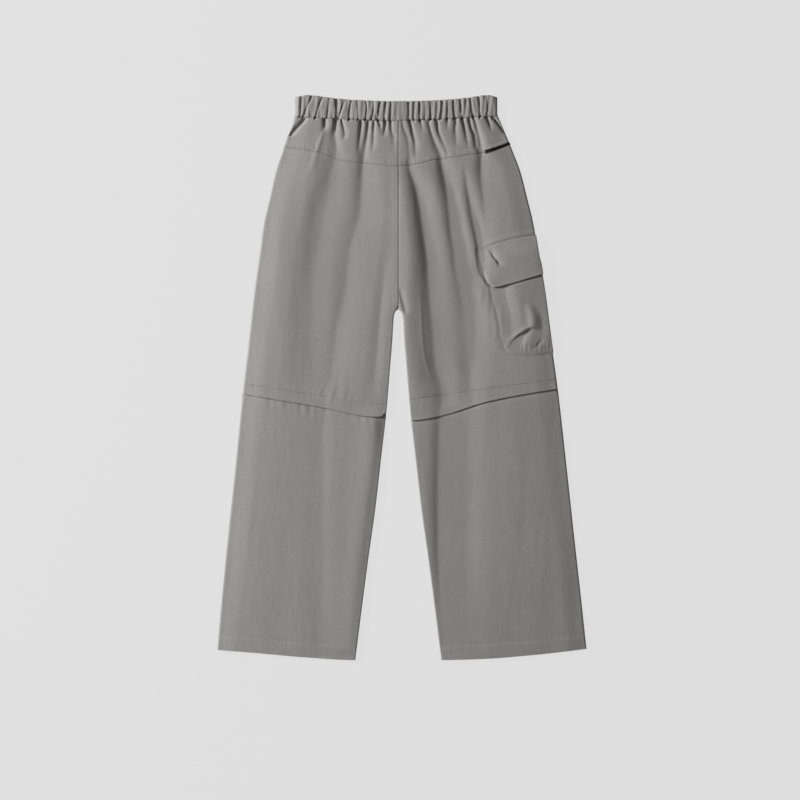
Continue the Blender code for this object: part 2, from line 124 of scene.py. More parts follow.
# The outseams, from the waistband down
OUTSEAM = table(
    "y left right",
    (460, -187.3, 167), (442, -192.5, 175), (421, -201.3, 183.8), (400, -208.3, 192.5),
    (358, -222, 208.3), (316, -231.5, 219), (274, -241.5, 229.3), (211, -250.5, 240),
    (148, -259.2, 250.3), (64, -268.5, 261.3), (-20, -278.3, 273), (-146, -291, 287.3),
    (-272, -304.3, 301), (-398, -316.8, 315), (-480, -323.75, 323.75),
)
# The gap between the legs, from the crotch down
LEG_GAP = table(
    "y half",
    (CROTCH, GAP / 2), (117.6, 3.4), (114, 6), (106, 7.9), (64, 10.5), (22, 14), (-62, 21), (-146, 30.6),
    (-230, 40.2), (-314, 52), (-398, 63), (-494, 75.2),
)
# Lines across the trousers
BAND_TOP = table(
    "x y",
    (-188, 490.5), (-166, 494.4), (-122, 489.5), (-80, 485.8), (-8, 483.9), (60, 485.5), (108, 489.2),
    (150, 494.4), (168, 490),
)
BAND_FOOT = table("x y", (-188, 455.9), (-7, 449.4), (168, 457.8))
YOKE_SEAM = table(
    "x y",
    (-208, 403.7), (-139, 393.4), (-103, 379.9), (-68, 375.6), (MIDDLE, 369.8), (26, 373.3), (57, 380.8),
    (90, 385.4), (118, 389.6), (146, 394.6), (194, 411.5),
)
HEM = table(
    "x y",
    (-323.75, -476.9), (-255, -482.1), (-177, -489.1), (-82, -494.4), (68, -494.4), (138, -492.6),
    (229, -485.6), (323.75, -475.1),
)
FLAP_STITCH = table(
    "x y",
    (-276, -10.7), (-143, -30.6), (-28, -46.4), (17, -38), (86, -28.5), (129, -21.9), (267, -3.9),
)
FLAP_EDGE = table(
    "x y",
    (-278, -28.9), (-144, -51.6), (-45, -68.6), (-37, -68), (-30, -62.5), (17, -74.9), (61, -68.6),
    (146, -42.9), (205, -30.6), (275, -19.1),
)

# The folds of the back
FOLDS = fold_tables({
    "left yoke, by the outseam": (
        (460, -167, -6, 2.5, 3), (447, -176, -6, 3.5, 3), (436, -186, -5.5, 4, 3),
        (422, -197, -3.9, 4, 3),
    ),
    "left yoke 1": (
        (456, -136.7, -4.7, 2.5, 3), (443, -136.2, -3.4, 3, 4), (430, -139.5, -1.3, 4, 5),
        (415, -143, 0, 5, 6),
    ),
    "left ridge": (
        (438, -136, 0, 4, 4), (425, -139, 1.2, 4, 4), (413, -143, 1.2, 4, 4), (391, -150, 1.1, 5, 5),
        (373, -155, 0.9, 6, 7), (340, -168, 0, 8, 10),
    ),
    "left band 1": (
        (456, -117, -4.8, 2.5, 4), (438, -118, -4.2, 4, 5), (423, -121, -3.4, 8, 6),
        (405, -120, -3.2, 12, 7), (385, -123, -3.2, 13, 16), (363, -129, -3.2, 16, 26),
        (293, -145, -3.2, 26, 40), (223, -160, -3, 30, 44), (153, -171, -2.8, 32, 44),
        (83, -170, -2.6, 34, 40), (13, -168, -2.2, 34, 36), (-40, -164, 0, 34, 36),
    ),
    "left yoke 2": (
        (454, -107.3, -3.4, 2, 2.5), (438, -103.6, -2.9, 3, 3), (426, -101.2, -2.1, 3.5, 3.5),
        (412, -105, 0, 4, 4),
    ),
    "left yoke 3": (
        (452, -72.8, -4.7, 2, 3), (432, -74, -3.4, 3, 4), (410, -76.6, -2.3, 4, 5), (389, -78, 0, 5, 6),
    ),
    "left band 2": (
        (451, -60, -4.4, 2.5, 3), (432, -61.8, -3.6, 3.5, 4), (410, -65.4, -3.8, 6, 5),
        (389, -70.4, -4.4, 9, 8), (363, -73.5, -5, 10, 18), (328, -76, -4.6, 12, 22),
        (293, -79, -4.2, 15, 26), (223, -98, -3.3, 18, 30), (153, -106, -3.2, 16, 30),
        (83, -119, -2.7, 14, 30), (13, -129, -2.2, 14, 30), (-40, -138, 0, 14, 30),
    ),
    "left yoke 4": (
        (451, -49.5, -3.6, 2, 2.5), (432, -50.8, -2.6, 3, 3), (410, -52, -2.1, 4, 4),
        (389, -55.7, 0, 5, 5),
    ),
    "left yoke 5": ((450, -41, -3.4, 2, 2.5), (436, -38.5, -1.3, 2.5, 3), (428, -37, 0, 3, 3)),
    "left yoke 6": ((450, -29.2, -4.4, 2, 2.5), (432, -31.2, -2.6, 3, 3), (418.6, -33.6, 0, 4, 4)),
    "left yoke 7": (
        (450, -20.1, -3.4, 2, 2.5), (435.8, -20.1, -2.3, 2.5, 3), (420, -16.4, -1.6, 3, 4),
        (389, -16.4, 0, 4, 5),
    ),
    "left inner valley": (
        (235, -32, 0, 10, 8), (200, -34, -1, 10, 8), (110, -42, -1.8, 9, 7), (10, -52, -1.6, 12, 10),
        (-40, -58, 0, 12, 10),
    ),
    "left hump": (
        (410, -150, 0, 40, 20), (363, -152, 2.4, 44, 22), (293, -176, 3.4, 60, 24),
        (223, -190, 3.8, 56, 30), (153, -202, 3.8, 52, 34), (50, -215, 3.4, 48, 40),
        (-40, -222, 2, 45, 40), (-200, -235, 1.4, 46, 60), (-460, -250, 0.5, 46, 60),
    ),
    "right yoke 1": (
        (449, -1, -1, 2, 2.5), (436, 2, -1.6, 3, 3), (418.6, 8.2, -1.6, 4, 4), (394, 10.7, -1.2, 5, 5),
        (372, 10, -3.4, 7, 10), (328, 22, -6.6, 10, 26), (293, 29, -7.6, 11, 34), (258, 34.5, -8, 12, 38),
        (223, 40, -8.4, 12, 40), (190, 43.5, -8.4, 13, 44), (153, 44, -7.6, 15, 48),
        (118, 47, -7.4, 16, 50), (83, 50, -7.4, 18, 50), (41, 51.5, -7.2, 18, 46), (13, 55, -7, 19, 40),
        (-31, 64, -5.8, 20, 30), (-58, 65, -2.6, 18, 28), (-84, 64, 0, 16, 26),
    ),
    "crest before A": (
        (360, 2, 0, 8, 14), (310, 6, 1.6, 12, 16), (223, 14, 2.9, 18, 18), (190, 15, 3, 18, 18),
        (153, 12, 3, 17, 22), (83, 11, 2.9, 18, 23), (13, 17, 2.9, 18, 26), (-50, 28, 0, 20, 24),
    ),
    "crest before B": (
        (372, 44, 0, 14, 10), (328, 58, 1.2, 22, 12), (293, 66, 1.6, 24, 12), (258, 72, 1.8, 24, 12),
        (223, 78, 1.6, 26, 12), (153, 88, 1, 30, 13), (83, 92, 0.5, 32, 12), (13, 96, 0.4, 28, 12),
        (-40, 100, 0, 20, 12),
    ),
    "ridge in A": (
        (148, 31, 0, 2, 2), (134, 32, 0.5, 2, 2.6), (82, 34.3, 0.6, 2, 2.6), (26, 41.3, 0.6, 2, 2.6),
        (-11, 55.3, 0, 2, 2),
    ),
    "crest before C": (
        (350, 96, 0, 12, 7), (310, 104, 1.2, 14, 8), (258, 114, 1.8, 16, 8), (223, 121, 1.4, 16, 8),
        (180, 128, 0, 14, 8),
    ),
    "right yoke 2": (
        (450, 12.9, -4, 2, 2.5), (427, 17.7, -3.2, 3, 3.5), (411, 21.2, -2.6, 4, 4.5),
        (394, 21.5, -1.6, 5, 6), (378, 20.5, 0, 6, 6),
    ),
    "right yoke 3": ((451, 31.7, -2.4, 2, 2.5), (436.6, 33.8, -1, 3, 3), (428, 34.5, 0, 3, 3)),
    "crotch crease": (
        (158, -4, 0, 2, 6), (147, -3, -2, 2.2, 6), (130, 1, -2.8, 2.6, 7), (118, 4, -2.4, 2.6, 6),
        (110, 6, 0, 2, 4),
    ),
    "right band B": (
        (451, 43.6, -2.2, 2.5, 3), (425, 50.6, -3, 5, 4), (407, 56.2, -4, 8, 5), (389, 63.2, -4.4, 9, 8),
        (363, 68, -6.6, 9, 18), (328, 77.5, -7.6, 11, 24), (293, 84, -8.2, 12, 28),
        (258, 88.5, -8.4, 12, 30), (223, 95, -8, 13, 30), (188, 99.5, -7.6, 14, 32),
        (153, 105, -6.8, 16, 32), (118, 110, -6.2, 17, 34), (48, 112, -5.6, 19, 32),
        (13, 112, -4.8, 18, 28), (-31, 115, -2.2, 16, 14), (-70, 118, 0, 16, 14),
    ),
    "right yoke 4": (
        (452, 59.7, -3.6, 2, 2.5), (433.7, 61.8, -3, 3, 3), (414, 68.8, -2.2, 4, 4), (392, 77, -1, 5, 5),
        (380, 80, 0, 5, 5),
    ),
    "right yoke 5": ((453, 78.4, -2.6, 2, 2.5), (439, 78.4, -0.8, 3, 3), (432, 78, 0, 3, 3)),
    "right yoke 6": (
        (454, 93.8, -2.8, 2.5, 3), (433.6, 91.7, -2.2, 3.5, 4), (414, 93.1, -1.4, 5, 5),
        (400, 94, 0, 5, 5),
    ),
    "right yoke 7": (
        (455, 104.3, -4.4, 2.5, 3), (433.6, 109.2, -3, 3, 3.5), (414, 112.7, -1.8, 4, 4),
        (396, 114, 0, 4, 4),
    ),
    "right yoke 8": (
        (456, 115.5, -4.2, 2, 2.5), (437.9, 119.7, -3.4, 3, 3), (422.6, 125.1, -2.8, 4, 4),
        (405.8, 127.3, -2, 4, 4), (393, 132.8, 0, 4, 4),
    ),
    "right crease C": (
        (372, 106, 0, 4, 8), (328, 113, -3, 5, 12), (293, 120, -4.6, 5, 16), (258, 128, -6, 4.2, 18),
        (223, 133.8, -5.8, 3.6, 18), (192, 137, -4.6, 4, 14), (172, 140, 0, 5, 10),
    ),
    "right crease D": (
        (456, 125.2, -2.6, 2.5, 3), (433.6, 130, -3.2, 5, 4), (414, 134, -4, 7, 5),
        (392, 135.6, -4.4, 8, 9), (363, 135, -4.6, 8, 20), (328, 138, -3.4, 8, 24),
        (293, 143, -1.8, 7, 20), (250, 150, 0, 6, 16),
    ),
    "right yoke 10": ((458, 146.8, -3.6, 2, 2.5), (442, 152.4, -2, 3, 3), (430, 155, 0, 3, 3)),
    "right yoke 11": (
        (459, 153.5, -4.4, 2, 2.5), (449, 163.6, -4, 2.5, 2.5), (433.6, 174.8, -3, 2.5, 2.5),
        (424, 180, 0, 3, 3),
    ),
    "left lower valley": (
        (-20, -148, 0, 22, 12), (-92, -148, -1.4, 22, 12), (-300, -148, -1.2, 24, 14),
        (-490, -150, -0.8, 30, 16),
    ),
    "left lower ridge": (
        (-40, -44, 0, 24, 12), (-92, -48, 2.4, 24, 12), (-214, -64, 2.2, 24, 12),
        (-354, -82, 1.7, 24, 13), (-480, -96, 0.8, 24, 14),
    ),
    "right lower core": (
        (-16, 64, 0, 16, 34), (-50, 64, -2, 16, 38), (-84, 62, -4.6, 13, 48), (-144, 61, -4.8, 12, 52),
        (-214, 60, -4.8, 11, 52), (-284, 60, -4.2, 10, 46), (-354, 62, -2.6, 9, 34),
        (-420, 66, -1.2, 8, 24), (-490, 69, -0.5, 8, 16),
    ),
    "right lower valley": (
        (-10, 100, 0, 34, 40), (-50, 100, -1.4, 34, 40), (-92, 100, -2.8, 36, 42),
        (-300, 100, -2.8, 36, 44), (-420, 102, -1.4, 32, 44), (-490, 104, -0.5, 30, 44),
    ),
    "right lower hump": (
        (-20, 170, 0, 45, 60), (-92, 165, 1.6, 50, 75), (-300, 165, 1.6, 55, 90),
        (-490, 175, 0.8, 50, 85),
    ),
})

# Short creases: a line from a first to a second point, bowed to its left, and how high and wide. The first
# is under the crotch's seams, and the others are puckers on the left knee flap.
STROKES = table(
    "x0 y0 x1 y1 bow height width",
    (-7, 126, -7, 116, 0, -1.6, 2.4), (-154, -12, -158, -26, 0.4, -0.25, 2.6),
    (-141, -16, -147, -36, 0.5, 0.28, 2.4), (-131, -10, -139, -30, 0.5, -0.3, 2.4),
    (-120, -18, -126, -44, 0.5, 0.32, 2.6), (-110, -10, -116, -34, 0.5, -0.3, 2.6),
    (-101, -20, -104, -46, 0.5, 0.3, 2.8), (-91, -10, -93, -30, 0, -0.25, 2.6),
)

# The waistband's gathers: where each is along its top and its foot, and how deep
BAND_GATHERS = table(
    "top foot depth",
    (-176.8, -178.5, 1.4), (-155.8, -173, 2.2), (-138.5, -151.5, 2.2), (-127.8, -131.3, 1.3),
    (-116.4, -116.4, 3.4), (-99, -112, 2.4), (-88.7, -92.4, 3.1), (-80, -76.8, 1.2), (-63.4, -64.1, 3.1),
    (-49.7, -53.8, 2.3), (-37.8, -42, 3.1), (-28.2, -31.5, 2.7), (-19.2, -21.5, 2), (10.2, 13.1, 3.1),
    (20.3, 21.6, 1.2), (29.8, 31.6, 3.1), (38.6, 39.8, 1.1), (49.6, 49.6, 3.1), (58.6, 58.2, 1.2),
    (68.8, 66.4, 2.3), (78.8, 78.8, 1.2), (89.6, 91.9, 3.1), (101, 105.8, 3.1), (118.3, 124.4, 3.4),
    (132.8, 136.5, 3), (148.3, 147.7, 2.2),
)

# The edges of the pocket's lid and bag, and their folds
LID_LEFT = table(
    "y x",
    (226, 131.8), (222, 131.6), (208, 133.7), (185, 139.2), (170, 145.4), (164, 149), (160.5, 154),
)
LID_TOP = table("x y", (131, 222.6), (194, 242.4), (234, 248.9))
LID_FOOT = table("x y", (145, 160), (159, 158.2), (194, 165.4), (214, 171.5), (247, 181.3))
BAG_LEFT = table(
    "y x",
    (176, 152), (157, 154), (127, 161), (101, 168), (71, 173.3), (53, 178.6), (44, 184.6), (40.5, 190),
)
BAG_FOOT = table("x y", (180, 40.5), (220, 38.0), (262, 42.9))
BAG_FOLDS = fold_tables({
    "tuck": (
        (88, 226, 0, 3, 7), (81, 217, -5.4, 4, 10), (74, 207.5, -6.8, 4.6, 11),
        (64.6, 198.5, -6.6, 4.6, 11), (53.4, 190.5, -4.8, 3.8, 9), (47, 187, 0, 3, 6),
    ),
    "lip of the tuck": (
        (92, 222, 0, 8, 5), (81, 211, 1.8, 9, 5), (74, 201, 2.2, 9, 5), (64.6, 192.5, 2, 8, 5),
        (53.4, 186, 0.8, 6, 4), (46, 183, 0, 5, 4),
    ),
    "branch": ((71, 206, 0, 2, 3), (66, 204, -1.2, 2, 3), (60, 201.6, -1, 2, 3), (55, 200, 0, 2, 3)),
    "arch": (
        (130, 220, 0, 6, 10), (116, 225, 2.2, 7, 9), (102, 229, 3.4, 8, 10), (90, 228, 3.4, 8, 11),
        (79, 223, 2.4, 10, 12), (64, 219, 1, 10, 12), (50, 218, 0, 8, 12),
    ),
    "hollow": ((122, 238, 0, 5, 7), (104, 242, -0.8, 6, 7), (84, 243, -1, 7, 7), (66, 241, 0, 6, 7)),
    "crease": (
        (70, 243, 0, 3, 4), (62.6, 240.6, -1.3, 3, 4), (53.4, 232.8, -1.2, 3, 4), (48, 227, 0, 3, 4),
    ),
    "streak 1": (
        (166, 158, -1.6, 4, 8), (127, 168, -1.8, 4, 8), (101, 175, -1.2, 4, 8), (76, 182, 0, 4, 8),
    ),
    "streak 2": (
        (170, 166, -1.8, 4, 8), (140, 174, -1.6, 4, 8), (112, 182, -0.8, 4, 8), (90, 188, 0, 4, 8),
    ),
})
LID_FOLDS = fold_tables({
    "slit": (
        (229, 151, 0, 2, 3), (223, 153.5, -2.4, 1.6, 4), (211, 159, -3.4, 1.8, 6),
        (202, 166.5, -3.2, 2.2, 7), (192, 170, 0, 3, 5),
    ),
})


def curve(at, places, values):
    """A smooth curve through the rows of a table that never overshoots them, read at any places."""
    order = np.argsort(places)
    p, v = places[order], values[order]
    step = np.diff(p)
    slope = np.diff(v) / step
    turn = np.zeros(len(p))
    same = slope[1:] * slope[:-1] > 0
    mean = 2 * slope[1:] * slope[:-1] / np.where(same, slope[1:] + slope[:-1], 1)
    turn[1:-1] = np.where(same, mean, 0)
    turn[0], turn[-1] = slope[0], slope[-1]
    n = np.clip(np.searchsorted(p, at) - 1, 0, len(step) - 1)
    u = np.clip((at - p[n]) / step[n], 0, 1)
    rest = 1 - u
    return (
        v[n] * rest**2 * (1 + 2 * u)
        + v[n + 1] * u**2 * (1 + 2 * rest)
        + step[n] * u * rest * (turn[n] * rest - turn[n + 1] * u)
    )


def ease(low, high, at):
    """From 0 at low to 1 at high, with no corner."""
    u = np.clip((at - low) / (high - low), 0, 1)
    return u * u * (3 - 2 * u)


def bell(t, left, right=None):
    """1 where t is 0, and falling off over these widths to its two sides."""
    right = left if right is None else right
    return np.exp(-((t / np.where(t < 0, left, right)) ** 2))


def line(rows):
    """A line across the trousers, as the height y at each x."""
    return lambda x: curve(x, rows["x"], rows["y"])


def edge(rows, side="x"):
    """A line down the trousers, as the place x at each height y."""
    return lambda y: curve(y, rows["y"], rows[side])


def moved(function, step):
    """A line or an edge, moved by step."""
    return lambda at: function(at) + step


band_foot, yoke_seam = line(BAND_FOOT), line(YOKE_SEAM)


def upright(x):
    """A straight edge down the trousers."""
    return lambda y: np.full_like(y, x)


def centre_edge(side):
    """The side of a leg, -1 or 1, by the middle: the centre seam above the crotch and the inseam below it."""
    return lambda y: MIDDLE + side * np.where(y > CROTCH, GAP / 2, edge(LEG_GAP, "half")(y))


def always(y):
    """1 where a side rolls down, which here is everywhere."""
    return np.ones_like(y)


def below_crotch(y):
    """1 where the inner side of a leg is an inseam that rolls down, and 0 where it is the centre seam."""
    return 1 - ease(CROTCH - 8, CROTCH + 12, y)


def unevenness(x, y, seed, across, along, height, waves=9):
    """Soft waves, about this far apart across and along the trousers, with this mean height."""
    draw = np.random.default_rng(seed)
    total = np.zeros_like(x)
    for _ in range(waves):
        to_right = math.tau / across * draw.uniform(0.55, 1.5)
        upward = math.tau / along * draw.uniform(-1.3, 1.3)
        total += np.sin(to_right * x + upward * y + draw.uniform(0, math.tau))
    return height * total / math.sqrt(waves / 2)


def fold(x, y, rows):
    """The height that one fold adds at (x, y): a round ridge, or a valley with a sharper foot."""
    path, height, left, right = (curve(y, rows["y"], rows[key]) for key in ("x", "height", "left", "right"))
    low, high = rows["y"].min(), rows["y"].max()
    length = ease(low - 3, low + 3, y) * (1 - ease(high, high + 6, y))
    if rows["height"].max() > 0:
        return height * length * bell(x - path, left, right)
    aside = x - path - STEEPEST * left
    width = np.where(aside < 0, left, right)
    away = np.sqrt((aside / width) ** 2 + ROUNDING) - math.sqrt(ROUNDING)
    return height * length * np.exp(-(away**SHARPNESS))


def strokes(x, y, rows):
    """The height that short creases add at (x, y)."""
    total = np.zeros_like(x)
    for x0, y0, x1, y1, bow, height, width in zip(*rows.values(), strict=True):
        length = math.hypot(x1 - x0, y1 - y0)
        ux, uy = (x1 - x0) / length, (y1 - y0) / length
        along = ((x - x0) * ux + (y - y0) * uy) / length
        inside = np.clip(along, 0, 1)
        aside = (x - x0) * -uy + (y - y0) * ux - 4 * bow * inside * (1 - inside)
        total += height * ease(-0.12, 0.3, along) * (1 - ease(0.7, 1.12, along)) * bell(aside, width)
    return total


def never_below(height, floor, softness=2.2):
    """A height that eases off above this floor."""
    return floor + np.logaddexp(0, (height - floor) * softness) / softness


def pucker(along, away, reach, pitch, height, seed):
    """The small ripples that a row of stitches draws up beside it."""
    beat = unevenness(along, away, seed, pitch, STRAIGHT, 1, 6)
    return height * beat * bell(away, reach)


def band_foot_pits(x, y):
    """The groove of the seam under the waistband, with a pit at each gather."""
    away = y - band_foot(x)
    total = -0.5 * bell(away, 1.6) + BEAD * unevenness(x, x * 0, 47, 5, STRAIGHT, 1) * bell(away + 1.5, 3)
    for foot, depth in zip(BAND_GATHERS["foot"], BAND_GATHERS["depth"], strict=True):
        total -= 1.4 * depth * bell(x - foot, 2) * bell(away, 3)
    return total


def seams_on_back(x, y):
    """What the seams and their rows of stitches do to the height of the back's outside."""
    above = y - yoke_seam(x)
    total = 0.3 * ease(0, 0.8, above) * (1 - ease(YOKE_STITCH, YOKE_STITCH + 3.5, above))
    total -= np.where(above < 0, 0.8 * bell(above, 2.2), SEAM_DIP * bell(above, 0.7))
    total += pucker(x, above - 5, 6, 8.5, 0.1, 3) - 0.45 * bell(above - YOKE_STITCH, 1.1)
    aside = x - MIDDLE
    centre = y > CROTCH
    total += centre * 0.12 * ease(-14, -11, aside) * (1 - ease(-0.8, 0, aside))
    total -= centre * SEAM_DIP * np.where(aside > 0, bell(aside, 2.6), bell(aside, 0.8))
    total += centre * pucker(y, aside + 6, 8, 11, 0.12, 5)
    below = y - line(FLAP_STITCH)(x)
    total += 0.18 * bell(below - 4, 4) - 0.2 * (x > MIDDLE) * bell(below, 1.3)
    total += pucker(x, below + 2, 8, 9, 0.05, 7)
    free = y - line(FLAP_EDGE)(x)
    total += 0.5 * bell(free, 4) * (free > -1)
    lip = above - ZIP_WIDTH / 2 - 1
    total += ease(ZIP_START - 6, ZIP_START, x) * (0.8 * bell(lip, 1.5, 3) - 0.8 * bell(above, ZIP_WIDTH / 2))
    return total + pocket_on_back(x, y)


def pocket_on_back(x, y):
    """The cloth of the thigh beside the pocket: grooves, a ridge, a hollow and the strip above its lid."""
    by_lid = x - edge(LID_LEFT)(y)
    by_bag = x - edge(BAG_LEFT)(y)
    under = y - line(BAG_FOOT)(x)
    groove = LID_GROOVE * bell(by_lid - 1.2, 2.4, 3) * ease(156, 164, y) * (1 - ease(222, 230, y))
    groove = np.maximum(groove, 0.35 * bell(by_bag, 2.4) * ease(36, 44, y) * (1 - ease(158, 164, y)))
    groove = np.maximum(groove, 0.6 * bell(under, 2.4) * ease(180, 188, x))
    over = y - line(LID_TOP)(x)
    rise = ease(38, 70, y) * (1 - ease(150, 172, y))
    rise = BAG_RIDGE * rise * bell(by_bag + 8, 22, 15) * (1 + unevenness(x, y, 45, 16, 60, 0.12))
    strip = 0.7 * ease(0, 2, over) * (1 - ease(8, 11, over)) - 0.6 * bell(over, 1.6)
    hollow = LID_HOLLOW * bell(by_bag - 5, 15, 24) * ease(96, 146, y) * (1 - ease(160, 166, y))
    return rise + ease(127, 133, x) * strip - groove - hollow


def edge_fall(x, y):
    """How much lower the cloth lies on its way to the outseams and the inseams."""
    left, right = (edge(OUTSEAM, side)(y) for side in ("left", "right"))
    from_outseam = np.minimum(x - left, right - x)
    from_inseam = np.abs(x - MIDDLE) - edge(LEG_GAP, "half")(y)
    at_outseam = OUTSEAM_FALL * (1 - ease(0, OUTSEAM_SLOPE, from_outseam))
    return at_outseam + INSEAM_FALL * below_crotch(y) * (1 - ease(0, INSEAM_SLOPE, from_inseam))


def back_height(x, y):
    """The height of the back's outside above the ground."""
    near_band = ease(385, 452, y)
    height = BACK_LEVEL + (YOKE_LEVEL - BACK_LEVEL) * near_band - edge_fall(x, y)
    for rows in FOLDS.values():
        height += (1 + YOKE_DEPTH * near_band) * fold(x, y, rows)
    height = height + strokes(x, y, STROKES) + seams_on_back(x, y) + band_foot_pits(x, y)
    height = height + unevenness(x, y, 11, 60, STRAIGHT, 0.09) + unevenness(x, y, 12, 22, 160, 0.03)
    free = y - line(FLAP_EDGE)(x)
    covered = ease(-16, -4, free) * (1 - ease(FLAP_COVER + 4, FLAP_COVER + 16, free))
    return never_below(height, LOWEST + UNDER_FLAP * covered)


def hem_rise(x, y):
    """How much the turned-up hem stands proud, with a groove along its stitching."""
    up = y - line(HEM)(x)
    return HEM_RISE * (1 - ease(HEM_DEPTH - 1, HEM_DEPTH + 2, up)) - 0.5 * bell(up - HEM_DEPTH, 1.2)


def lower_height(x, y):
    """The height of the lower leg's outside: a step below the flap's, and lower still under its edge."""
    up = y - line(HEM)(x)
    under = y - line(FLAP_EDGE)(x)
    height = back_height(x, y) - FLAP_STEP + hem_rise(x, y) + pucker(x, up - HEM_DEPTH, 9, 10, 0.08, 9)
    height = height - FLAP_SHADOW * bell(under, 5, 4) + (x < MIDDLE) * pucker(x, under + 3, 13, 20, 0.2, 13)
    height -= INNER_HOLLOW * ease(-56, -30, x) * (x < MIDDLE) * bell(y + 78, 40, 26)
    return never_below(height, LOWEST)


def scalloped(rows, column, depth):
    """An edge of the waistband, drawn towards its middle by this much at each gather."""

    def place(x):
        y = curve(x, rows["x"], rows["y"])
        for at, gather in zip(BAND_GATHERS[column], BAND_GATHERS["depth"], strict=True):
            y = y + depth * gather / 3 * bell(x - at, 2.6)
        return y

    return place


def band_height(x, y):
    """The height of the waistband's outside, with its gathers as valleys."""
    up = np.clip((y - band_foot(x)) / (line(BAND_TOP)(x) - band_foot(x)), 0, 1)
    height = BAND_RIDGE + BAND_CROWN * np.sin(math.pi * up) ** 0.7
    draw = np.random.default_rng(5)
    for top, foot, depth in zip(*BAND_GATHERS.values(), strict=True):
        phase, bend, width = draw.uniform(0, math.tau), draw.uniform(-1.6, 1.6), draw.uniform(0.75, 1.2)
        path = foot + (top - foot) * up + bend * np.sin(math.pi * up)
        change = 1 + 0.3 * np.sin(math.tau * up + phase)
        width = width * (0.75 + 0.5 * np.sin(math.pi * up * 0.9 + phase) ** 2)
        valley = bell(x - path, GATHER_LEFT * width, GATHER_RIGHT * width)
        height -= BAND_DEPTH * depth * change * valley
    for _ in range(SHORT_CREASES):
        at, start, length = draw.uniform(-178, 160), draw.choice([0, 1]), draw.uniform(0.25, 0.6)
        lean, depth, width = draw.uniform(-6, 6), draw.uniform(0.4, 1.1), draw.uniform(0.9, 1.9)
        along = np.abs(up - start) / length
        height -= depth * (1 - ease(0.3, 1, along)) * bell(x - at - lean * along, width)
    above = y - band_foot(x)
    for foot, depth in zip(BAND_GATHERS["foot"], BAND_GATHERS["depth"], strict=True):
        height -= 0.8 * depth * bell(x - foot, 1.8) * bell(above, 3.4)
    beads = BEAD * unevenness(x, x * 0, 49, 5, STRAIGHT, 1) * bell(above, 4)
    height = height + unevenness(x, y, 21, 12, 60, 0.3) + beads - 0.9 * bell(above, 1.4)
    return never_below(height, BAND_INSIDE + CLOTH, 3)


def front_band_height(x, y):
    """The height of the front band's outside, which rests on the ground between its gathers."""
    left, right = OUTSEAM["left"][0] + BAND_TAIL, OUTSEAM["right"][0] - BAND_TAIL
    turn = (x - left) / (right - left) * FRONT_GATHERS
    inside = ease(0, 1, turn) * (1 - ease(FRONT_GATHERS - 1, FRONT_GATHERS, turn))
    return FRONT_GATHER_DEPTH * inside * (0.5 - 0.5 * np.cos(math.tau * turn)) ** 3


def level(height):
    """A level surface."""
    return lambda x, y: np.full_like(x, float(height))


def raised(surface, step):
    """A surface, moved up by step."""
    return lambda x, y: surface(x, y) + step


def front_height(x, y):
    """The height of the front's outside: on the ground, but for a few shallow troughs."""
    wave = unevenness(x, y, 31, 70, 420, 0.5)
    return 0.55 * ease(0.35, 1.4, wave)


def bag_inside(x, y):
    """The inside of the cargo pocket's bag, which lies on the thigh along its edges and bulges in between."""
    left, foot = edge(BAG_LEFT)(y), line(BAG_FOOT)(x)
    right = edge(OUTSEAM, "right")(y)
    bulge = BAG_BULGE * ease(14, 46, x - left) * (1 - 0.45 * ease(200, 250, x))
    bulge = bulge * ease(2, 26, y - foot) * ease(-16, 12, right - x)
    bulge += POCKET_FALL * edge_fall(x, y) * ease(0, 20, y - foot)
    bulge -= 0.25 * (bell(x - left - 7, 1.5) + bell(y - foot - 7, 1.5))
    bulge = bulge + pucker(x, y - foot - 12, 9, 9, 0.17, 41) + pucker(y, x - left - 10, 7, 12, 0.1, 43)
    bulge -= 1.2 * bell(y - line(LID_FOOT)(x) + 1.5, 3)
    for rows in BAG_FOLDS.values():
        bulge += ease(0, 12, x - left) * fold(x, y, rows)
    return back_height(x, y) + GAP + np.maximum(never_below(bulge, 0) - 0.3, 0)


def bag_outside(x, y):
    """The bag's outside: its edges are pressed thin where they are sewn down."""
    left, foot = edge(BAG_LEFT)(y), line(BAG_FOOT)(x)
    return bag_inside(x, y) + CLOTH * (PRESSED + (1 - PRESSED) * ease(0, 9, x - left) * ease(0, 6, y - foot))


def lid_inside(x, y):
    """The inside of the pocket's lid, which is sewn to the thigh along its top and lies on the bag below."""
    left, top = edge(LID_LEFT)(y), line(LID_TOP)(x)
    foot = line(LID_FOOT)(x)
    over_bag = bag_outside(x, y) + LID_LIFT - back_height(x, y) - GAP
    over_bag = np.where(y < foot + BAG_TOP_COVER + 1, over_bag, 0)
    right = edge(OUTSEAM, "right")(y)
    height = LID_HEIGHT * ease(-26, 12, x - left) * ease(-2, 34, top - y)
    height = height * (0.5 + 0.5 * ease(-16, 12, right - x))
    height += POCKET_FALL * edge_fall(x, y)
    height = np.logaddexp(3 * height, 3 * over_bag) / 3 + 0.9 * bell(x - left, 2)
    height += 0.6 * bell(y - foot - 1, 1.8)
    for rows in LID_FOLDS.values():
        height += fold(x, y, rows)
    return back_height(x, y) + GAP + np.maximum(height, 0)


# Materials


def node(tree, kind, inputs=None, **settings):
    """A new node, with values or other nodes' outputs at its inputs."""
    made = tree.nodes.new(kind)
    for key, value in settings.items():
        setattr(made, key, value)
    for key, value in (inputs or {}).items():
        if isinstance(value, bpy.types.NodeSocket):
            tree.links.new(value, made.inputs[key])
        else:
            made.inputs[key].default_value = value
    return made


